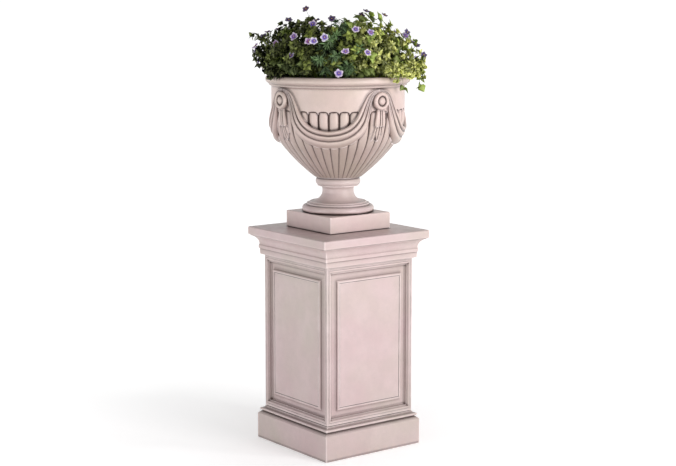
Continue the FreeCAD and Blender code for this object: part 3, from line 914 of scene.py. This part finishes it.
def stalk_flower(blooms, stalks, rng, point):
    """A flower held up on a long thin stalk, facing mostly upwards."""
    plant = plant_of(point)
    root = Vector((point.x * 0.78, point.y * 0.78, max(point.z - 0.085, RIM + 0.005)))
    bend = root.lerp(point, 0.55) + Vector((0, 0, 0.012)) + jitter(rng, 0.006)
    stem_mesh(stalks[plant], bezier(root, bend, point, 6), 0.0011, (0.12, 0.13, 0.09))
    facing = Vector((point.x * 1.2, point.y * 1.2, 0.55)) + TOWARDS_VIEWER * 0.42 + jitter(rng, 0.25)
    # The stalk flowers are painted at 0.36 of their colour: painted shade, so they read as dark
    # silhouettes.
    flower_mesh(blooms[plant], point, facing, rng, FLOWER_ACROSS * rng.uniform(0.85, 1.05), 0.36)


def habit_at(angle, rng):
    """Which leaf grows where: olive on the viewer's left, feathery in front, lime on the right."""
    side = side_of(angle)
    pick = rng.random()
    if side > 0.30:
        return "lime" if pick < 0.66 else ("olive" if pick < 0.84 else "round")
    if side < -0.35:
        return "olive" if pick < 0.88 else "round"
    if front_of(angle) > 0:
        return "feather" if pick < 0.42 else ("olive" if pick < 0.85 else "round")
    return ("olive", "feather", "lime", "olive")[int(pick * 4)]


def lowest_polar(angle):
    """How far down the stems reach: over the rim at the viewer's left, right and back only."""
    side = side_of(angle)
    if side > 0.62:
        return 97
    if side < -0.80:
        return 95
    if front_of(angle) > 0:
        return 89
    return 100


def planting(leaf, petal):
    """Seven plants of leaves and stems, with their flowers, in place of the plain CAD plants."""
    rng = random.Random(LEAF_SEED)
    plants = [([], [], []) for _ in range(7)]
    blooms = [([], [], []) for _ in range(7)]
    stems = 430
    golden = math.pi * (3 - math.sqrt(5))
    for i in range(stems):
        angle = i * golden + rng.uniform(-0.1, 0.1)
        share = (i + 0.5) / stems
        polar = math.radians(lowest_polar(angle)) * math.sqrt(share) * rng.uniform(0.96, 1.0)
        end = envelope(angle, polar)
        low = 0.03 + 0.145 * min(math.sin(min(polar, math.pi / 2)), 1.0)
        centre = Vector((0, 0, RIM))
        end = centre + (end - centre) * rng.choice((0.80, 0.88, 0.94, 0.98, 1.0)) + jitter(rng, 0.010)
        out = outward(angle, polar)
        leafy_stem(plants[plant_of(end)], rng, habit_at(angle, rng), end, out, angle, low)
    for side, height, depth, habit in SPRIGS:
        end = RIGHT_OF_VIEWER * (side * MM) + TOWARDS_VIEWER * (depth * MM)
        end.z = RIM + height * MM
        angle = math.atan2(end.y, end.x)
        out = Vector((end.x, end.y, 0.15)).normalized()
        low = 0.60 * math.hypot(end.x, end.y)
        leafy_stem(plants[plant_of(end)], rng, habit, end, out, angle, min(low, 0.17))
    flowers(blooms, plants, rng)
    nodes = ["plant_heart"] + ["plant_ring_%d" % k for k in range(1, 7)]
    for node, plant, bloom in zip(nodes, plants, blooms):
        piece = mesh_piece(node + "_foliage", plant[0], plant[1], leaf, plant[2])
        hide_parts(node)
        if bloom[0]:
            mesh_piece(node + "_flowers", bloom[0], bloom[1], petal, bloom[2])


# ========================================================================================
# stage
# ========================================================================================
def softbox(name, azimuth, distance, height, size, power, colour=(1, 1, 1), aim=1.0):
    """Upright rectangular light on a circle round the object, turned towards its axis."""
    data = bpy.data.lights.new(name, "AREA")
    data.shape = "RECTANGLE"
    data.size, data.size_y = size
    data.energy = power
    data.color = colour
    light = bpy.data.objects.new(name, data)
    turn = math.radians(azimuth)
    light.location = (math.sin(turn) * distance, -math.cos(turn) * distance, height)
    towards = Vector((0, 0, aim)) - light.location
    light.rotation_euler = towards.to_track_quat("-Z", "Y").to_euler()
    bpy.context.scene.collection.objects.link(light)


def camera():
    """Viewer 5.9 m from the axis at eye height, looking slightly down, with a long lens."""
    data = bpy.data.cameras.new("camera")
    data.sensor_width = 36.0
    data.lens = 84.96
    viewer = bpy.data.objects.new("camera", data)
    viewer.location = (TOWARDS_VIEWER.x * VIEW_DISTANCE, TOWARDS_VIEWER.y * VIEW_DISTANCE,
                       EYE_HEIGHT)
    viewer.rotation_euler = (math.pi / 2 - VIEW_PITCH, 0, VIEW_AZIMUTH)
    bpy.context.scene.collection.objects.link(viewer)
    bpy.context.scene.camera = viewer


def stage():
    """White floor that merges with the backdrop, a large softbox on the right, a weak one on the
    left, a small one above, and two that only make glints."""
    material, tree, shader = new_material("floor")
    shader.inputs["Base Color"].default_value = (0.92, 0.92, 0.92, 1)
    shader.inputs["Roughness"].default_value = 0.9
    shader.inputs["Emission Color"].default_value = (1, 1, 1, 1)
    place = add(tree, "TexCoord").outputs["Object"]
    away = add(tree, "VectorMath", {0: place}, operation="LENGTH").outputs["Value"]
    tree.links.new(ramp(tree, away, 0.3, 2.2, 0.34, 0.78), shader.inputs["Emission Strength"])
    mesh = bpy.data.meshes.new("floor")
    half = 30.0
    mesh.from_pydata([(-half, -half, 0), (half, -half, 0), (half, half, 0), (-half, half, 0)], [],
                     [(0, 1, 2, 3)])
    mesh.materials.append(material)
    floor = bpy.data.objects.new("floor", mesh)
    bpy.context.scene.collection.objects.link(floor)
    world = bpy.data.worlds.new("studio")
    world.use_nodes = True
    tree = world.node_tree
    ray = add(tree, "TexCoord").outputs["Generated"]
    up = add(tree, "SeparateXYZ", {0: ray}).outputs[2]
    behind = add(tree, "VectorMath", {0: ray, 1: tuple(-TOWARDS_VIEWER)}, operation="DOT_PRODUCT")
    level = ramp(tree, behind.outputs["Value"], -0.25, 0.45, 0.38, 1.06)
    strength = math_node(tree, "MULTIPLY", level, ramp(tree, up, 0.12, 0.55, 1.0, 0.50))
    background = tree.nodes["Background"]
    background.inputs["Color"].default_value = (1, 1, 1, 1)
    tree.links.new(strength, background.inputs["Strength"])
    bpy.context.scene.world = world
    bpy.context.scene.view_settings.view_transform = "Standard"
    softbox("key", 10, 3.4, 1.5, (1.2, 1.8), 57, (1.0, 0.965, 0.98))
    softbox("left", -92, 3.4, 1.1, (0.7, 2.0), 19, (0.97, 0.98, 1.0))
    softbox("top", 30, 2.2, 3.0, (0.35, 0.35), 14, aim=1.5)
    softbox("glint_left", -50, 3.0, 2.0, (0.12, 0.12), 3.5)
    softbox("glint_right", -18, 3.0, 2.0, (0.12, 0.12), 3.5)


# ========================================================================================
# assembly
# ========================================================================================
def paint(material, *nodes):
    """Gives pieces that keep their CAD mesh a material."""
    for node in nodes:
        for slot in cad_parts[node].material_slots:
            slot.material = material


def main():
    camera()
    stage()
    sides = ("right", "back", "left", "front")
    paint(stone_material("cast_stone_pedestal", 0.008, 0.25, (0.66, 1.0), (1.00, 0.99, 1.00)),
          "pedestal_base", "pedestal_shaft", "pedestal_cap")
    # The plinth's stone is lifted to 1.20 as painted light, in place of the bounce light its faces lack.
    paint(stone_material("cast_stone_plinth", 0.006, 0.25, (0.42, 0.82), (1.20, 1.20, 1.18)), "urn_plinth")
    paint(stone_material("cast_stone_foot", 0.006, 0.25, (0.42, 0.90), (1.03, 1.03, 1.04)), "urn_foot")
    stone = stone_material("cast_stone_urn", 0.0035, 0.78, (0.64, 1.0), (1.04, 1.03, 0.97))
    paint(stone, *["rosette_" + side for side in sides])
    paint(mortar_material(), "lower_mortar_bed", "upper_mortar_bed")
    paint(steel_material(), "lower_dowels", "upper_dowels", "drain_tube")
    paint(gravel_material(), "drainage_gravel")
    paint(fleece_material(), "filter_fleece")
    paint(compost_material(), "compost")
    bowl(stone)
    for number, side in enumerate(sides):
        tail("tail_cloth_" + side, "tail_" + side, number * math.pi / 2, stone)
    for number, corner in enumerate(("back_right", "back_left", "front_left", "front_right")):
        swag("swag_cloth_" + corner, "swag_" + corner, math.pi / 4 + number * math.pi / 2, stone)
    planting(plant_material("leaf", 0.42, 0.24, 260.0, 0.16),
             plant_material("petal", 0.5, 0.30, 500.0, 0.03))


main()
